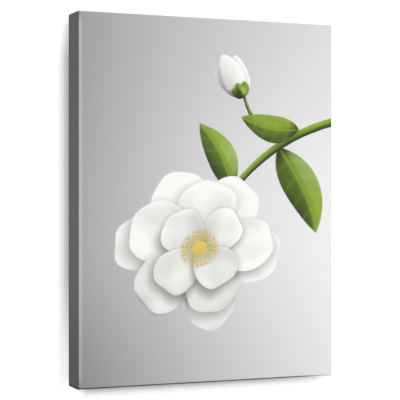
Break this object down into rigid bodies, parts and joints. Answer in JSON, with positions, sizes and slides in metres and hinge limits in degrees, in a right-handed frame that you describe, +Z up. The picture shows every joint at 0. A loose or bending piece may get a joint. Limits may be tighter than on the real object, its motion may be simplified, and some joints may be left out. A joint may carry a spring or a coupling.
{
  "type": "stretched canvas picture",
  "caption": "Rectangular canvas stretched over a mitred wooden frame, wrapped round its sides and stapled behind, with a sawtooth hanger and wall bumpers on its back.",
  "frame": {"origin": "the middle notch of the sawtooth hanger, where it rests on the wall's nail", "axes": "+Z up as it hangs, +X to the right as seen from the front, +Y towards the wall; the printed front faces -Y"},
  "size_m": [0.307, 0.0402, 0.407],
  "materials": {
    "printed_canvas": "matt printed weave",
    "pine": "planed, unfinished",
    "staple_wire": "galvanised wire",
    "hanger_metal": "thin brass plating on pressed sheet",
    "nail_metal": "plated",
    "bumper_rubber": "matt"
  },
  "bodies": {
    "root": {"canvas": "printed_canvas", "stretcher_bar_top": "pine", "stretcher_bar_right": "pine", "stretcher_bar_bottom": "pine", "stretcher_bar_left": "pine", "canvas_staple_top_1": "staple_wire", "canvas_staple_top_2": "staple_wire", "canvas_staple_top_3": "staple_wire", "canvas_staple_top_4": "staple_wire", "canvas_staple_top_5": "staple_wire", "canvas_staple_top_6": "staple_wire", "canvas_staple_top_7": "staple_wire", "canvas_staple_bottom_1": "staple_wire", "canvas_staple_bottom_2": "staple_wire", "canvas_staple_bottom_3": "staple_wire", "canvas_staple_bottom_4": "staple_wire", "canvas_staple_bottom_5": "staple_wire", "canvas_staple_bottom_6": "staple_wire", "canvas_staple_bottom_7": "staple_wire", "canvas_staple_left_1": "staple_wire", "canvas_staple_left_2": "staple_wire", "canvas_staple_left_3": "staple_wire", "canvas_staple_left_4": "staple_wire", "canvas_staple_left_5": "staple_wire", "canvas_staple_left_6": "staple_wire", "canvas_staple_left_7": "staple_wire", "canvas_staple_left_8": "staple_wire", "canvas_staple_left_9": "staple_wire", "canvas_staple_right_1": "staple_wire", "canvas_staple_right_2": "staple_wire", "canvas_staple_right_3": "staple_wire", "canvas_staple_right_4": "staple_wire", "canvas_staple_right_5": "staple_wire", "canvas_staple_right_6": "staple_wire", "canvas_staple_right_7": "staple_wire", "canvas_staple_right_8": "staple_wire", "canvas_staple_right_9": "staple_wire", "mitre_staple_top_left": "staple_wire", "mitre_staple_top_right": "staple_wire", "mitre_staple_bottom_left": "staple_wire", "mitre_staple_bottom_right": "staple_wire", "sawtooth_hanger": "hanger_metal", "hanger_nail_left": "nail_metal", "hanger_nail_right": "nail_metal", "bumper_left": "bumper_rubber", "bumper_right": "bumper_rubber"}
  },
  "joints": []
}
